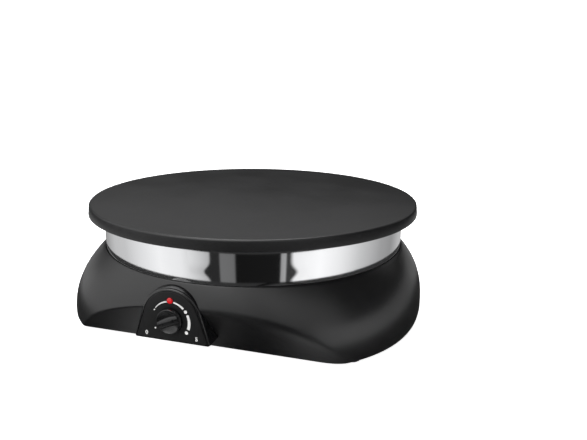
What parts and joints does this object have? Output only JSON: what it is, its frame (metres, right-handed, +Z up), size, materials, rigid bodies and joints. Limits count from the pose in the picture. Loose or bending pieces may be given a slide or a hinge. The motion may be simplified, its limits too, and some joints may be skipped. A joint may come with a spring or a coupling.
{
  "type": "electric crepe maker",
  "caption": "Free-standing electric griddle with a round flat plate on a polished steel ring, a low black casing and a rotary heat control.",
  "frame": {"origin": "on the plate's axis, at the level of the table that the feet stand on", "axes": "+Z up along the plate's axis; the control panel faces -Y; +X is to the right of someone who faces the panel"},
  "size_m": [0.35, 0.3354, 0.1093],
  "materials": {
    "coated_plate": "cast aluminium under a dark satin non-stick coating",
    "polished_steel": "polished stainless steel band",
    "casing_plastic": "black moulded plastic, satin to glossy",
    "panel_plastic": "black moulded plastic, matte face",
    "cover_plastic": "black moulded plastic, matte",
    "knob_plastic": "black moulded plastic, glossy",
    "print_grey": "light grey print",
    "lamp_red": "red moulded lens",
    "lamp_glass": "clear glass with a warm glow tube",
    "white_plastic": "off-white moulded insulation",
    "brown_plastic": "brown phenolic moulding",
    "ceramic_white": "white ceramic",
    "sheet_steel": "galvanised sheet steel",
    "screw_steel": "zinc plated steel",
    "dark_steel": "heat-darkened steel tube",
    "brass": "plain brass",
    "copper_bulb": "drawn copper tube",
    "gasket_black": "heat-proof fibre gasket",
    "foot_rubber": "dark grey rubber",
    "wire_brown": "brown wire sleeve",
    "wire_blue": "blue wire sleeve",
    "wire_green": "green wire sleeve",
    "wire_red": "red wire sleeve",
    "wire_white": "white wire sleeve"
  },
  "bodies": {
    "base": {"griddle_plate": "coated_plate", "plate_studs": "screw_steel", "spacer_tubes": "sheet_steel", "stud_nuts": "screw_steel", "heating_element": "dark_steel", "element_tabs": "brass", "element_straps": "sheet_steel", "bulb_clip": "sheet_steel", "strap_screws": "screw_steel", "sensor_bulb": "copper_bulb", "capillary_tube": "copper_bulb", "ring_gasket": "gasket_black", "steel_ring": "polished_steel", "heat_shield": "sheet_steel", "clinch_nuts": "screw_steel", "earth_nut": "brass", "housing": "casing_plastic", "bottom_cover": "cover_plastic", "cover_screws": "screw_steel", "shield_screws": "screw_steel", "rubber_feet": "foot_rubber", "control_panel": "panel_plastic", "dial_scale": "print_grey", "dial_numbers": "print_grey", "thermostat_body": "brown_plastic", "thermostat_cap": "sheet_steel", "thermostat_tabs": "brass", "thermostat_bush": "brass", "bush_nut": "screw_steel", "thermostat_bracket": "sheet_steel", "bracket_screws": "screw_steel", "lamp_lens": "lamp_red", "pilot_lamp": "lamp_glass", "lamp_holder": "white_plastic", "thermal_fuse": "ceramic_white", "fuse_clip": "ceramic_white", "terminal_block": "white_plastic", "block_screws": "screw_steel", "live_wire": "wire_brown", "neutral_wire": "wire_blue", "earth_wire": "wire_green", "switched_wire": "wire_red", "lamp_wires": "wire_white", "cord_gland": "cover_plastic", "gland_nut": "cover_plastic"},
    "knob": {"control_knob": "knob_plastic", "knob_spring": "sheet_steel", "thermostat_spindle": "screw_steel"},
    "plunger": {"thermostat_plunger": "brass"}
  },
  "joints": [
    {"name": "knob_turn", "type": "hinge", "parent": "base", "child": "knob", "pos_m": [-0.0162, -0.162, 0.0357], "axis": [0, 1, 0], "range_deg": [-186, 57]},
    {"name": "plunger_travel", "type": "slide", "parent": "base", "child": "plunger", "axis": [0, 1, 0], "range_m": [-0.00115, 0.00035]}
  ],
  "couplings": [
    {"joint": "plunger_travel", "follows": "knob_turn", "m_per_rad": 0.00035368}
  ]
}
